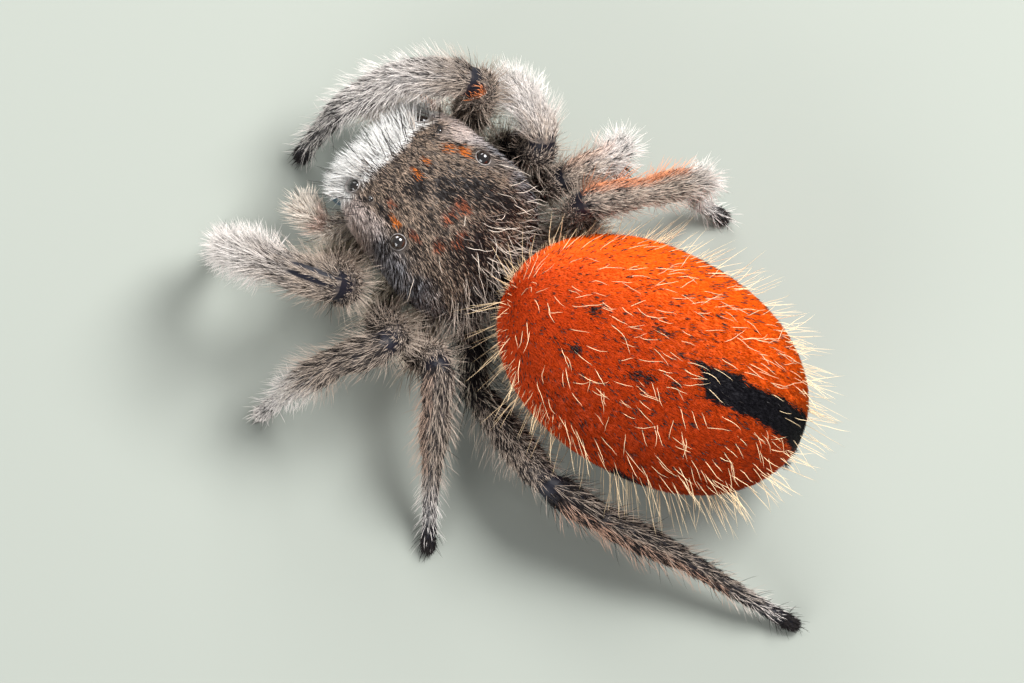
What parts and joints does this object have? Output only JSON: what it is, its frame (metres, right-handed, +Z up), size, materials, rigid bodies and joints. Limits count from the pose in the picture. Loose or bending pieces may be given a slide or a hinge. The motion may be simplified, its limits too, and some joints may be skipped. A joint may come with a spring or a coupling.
{
  "type": "desert red jumping spider",
  "caption": "Still life-size model of a jumping spider standing on its tiptoes, with a red hairy abdomen, grey hairy legs, forward eyes and teal jaws",
  "frame": {"origin": "on the floor below the middle of the whole spider's box", "axes": "spider faces -Y, its left side is at +X, +Z is up"},
  "size_m": [0.0114, 0.0162, 0.0051],
  "materials": {
    "carapace_coat": "short grey-brown fur with rust and cream hairs",
    "abdomen_coat": "velvety red-orange pile with long pale bristles",
    "leg_coat": "beige and grey hair in streaks with pale fringes",
    "foot_coat": "short dark hair and pale tufts",
    "palp_coat": "dense cream hair",
    "dark_skin": "dark bare skin",
    "eye_lens": "wet black dome",
    "jaw_shell": "iridescent teal horn"
  },
  "bodies": {
    "root": {"cephalothorax": "carapace_coat", "abdomen": "abdomen_coat", "pedicel": "dark_skin", "spinnerets": "dark_skin", "eye_anterior_median_left": "eye_lens", "eye_anterior_median_right": "eye_lens", "eye_anterior_lateral_left": "eye_lens", "eye_anterior_lateral_right": "eye_lens", "eye_posterior_median_left": "eye_lens", "eye_posterior_median_right": "eye_lens", "eye_posterior_lateral_left": "eye_lens", "eye_posterior_lateral_right": "eye_lens", "chelicera_left": "jaw_shell", "palp_left": "palp_coat", "chelicera_right": "jaw_shell", "palp_right": "palp_coat", "leg_left_1_upper": "leg_coat", "leg_left_1_middle": "leg_coat", "leg_left_1_foot": "foot_coat", "leg_left_2_upper": "leg_coat", "leg_left_2_middle": "leg_coat", "leg_left_2_foot": "foot_coat", "leg_left_3_upper": "leg_coat", "leg_left_3_middle": "leg_coat", "leg_left_3_foot": "foot_coat", "leg_left_4_upper": "leg_coat", "leg_left_4_middle": "leg_coat", "leg_left_4_foot": "foot_coat", "leg_right_1_upper": "leg_coat", "leg_right_1_middle": "leg_coat", "leg_right_1_foot": "foot_coat", "leg_right_2_upper": "leg_coat", "leg_right_2_middle": "leg_coat", "leg_right_2_foot": "foot_coat", "leg_right_3_upper": "leg_coat", "leg_right_3_middle": "leg_coat", "leg_right_3_foot": "foot_coat", "leg_right_4_upper": "leg_coat", "leg_right_4_middle": "leg_coat", "leg_right_4_foot": "foot_coat"}
  },
  "joints": []
}
